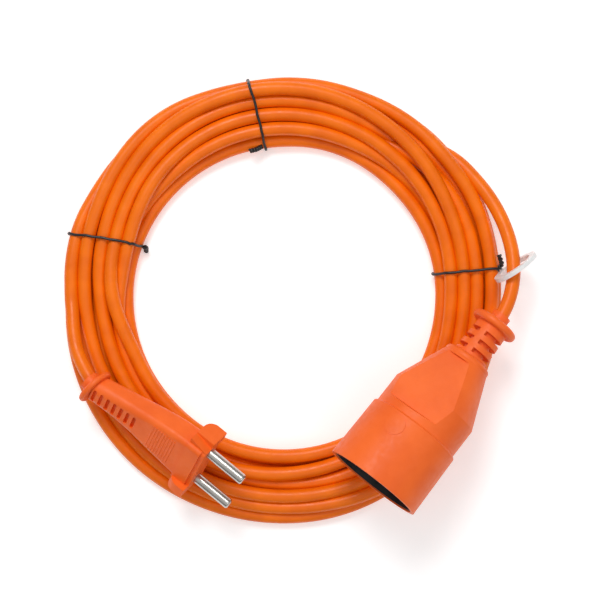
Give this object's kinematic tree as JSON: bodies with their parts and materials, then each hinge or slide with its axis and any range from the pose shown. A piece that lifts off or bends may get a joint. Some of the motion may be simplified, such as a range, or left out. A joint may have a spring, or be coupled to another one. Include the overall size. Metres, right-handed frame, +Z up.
{
  "type": "extension cord",
  "caption": "Orange two-wire extension cord wound in a flat round coil and tied, with a moulded two-pin plug, a round coupler socket and a small plastic ring on the cord.",
  "frame": {"origin": "centre of the whole object's box, on the floor the coil rests on", "axes": "+Z up off the floor; -Y towards the side where the plug and the coupler lie; +X towards the coupler's lead"},
  "size_m": [0.2098, 0.2008, 0.0611],
  "materials": {
    "cord_sheath": "semi-gloss extruded plastic sheath",
    "moulded_rubber": "fine matte moulded",
    "nickel_pin": "satin nickel plate",
    "contact_brass": "bright",
    "copper": "bare strands",
    "inner_plastic": "plain moulded",
    "black_plastic": "fine moulded",
    "brown_core": "smooth",
    "blue_core": "smooth",
    "tie_plastic": "smooth plastic-coated wire",
    "ring_plastic": "milky, slightly see-through"
  },
  "bodies": {
    "cord_set": {"plug_overmould": "moulded_rubber", "plug_pin_bridge": "inner_plastic", "plug_pin_line": "nickel_pin", "plug_pin_neutral": "nickel_pin", "plug_copper_line": "copper", "plug_wire_brown": "brown_core", "plug_copper_neutral": "copper", "plug_wire_blue": "blue_core", "cord_plug_lead": "cord_sheath", "coupler_overmould": "moulded_rubber", "coupler_socket_cup": "black_plastic", "coupler_contact_carrier": "inner_plastic", "coupler_contact_line": "contact_brass", "coupler_contact_neutral": "contact_brass", "coupler_copper_line": "copper", "coupler_wire_brown": "brown_core", "coupler_copper_neutral": "copper", "coupler_wire_blue": "blue_core", "cord_coupler_lead": "cord_sheath", "cord_coil": "cord_sheath", "twist_tie_top": "tie_plastic", "twist_tie_left": "tie_plastic", "twist_tie_right": "tie_plastic"},
    "ring": {"hang_ring": "ring_plastic"}
  },
  "joints": [
    {"name": "ring_slide", "type": "slide", "parent": "cord_set", "child": "ring", "axis": [0.1601, 0.9723, -0.1701], "range_m": [-0.003, 0]}
  ]
}
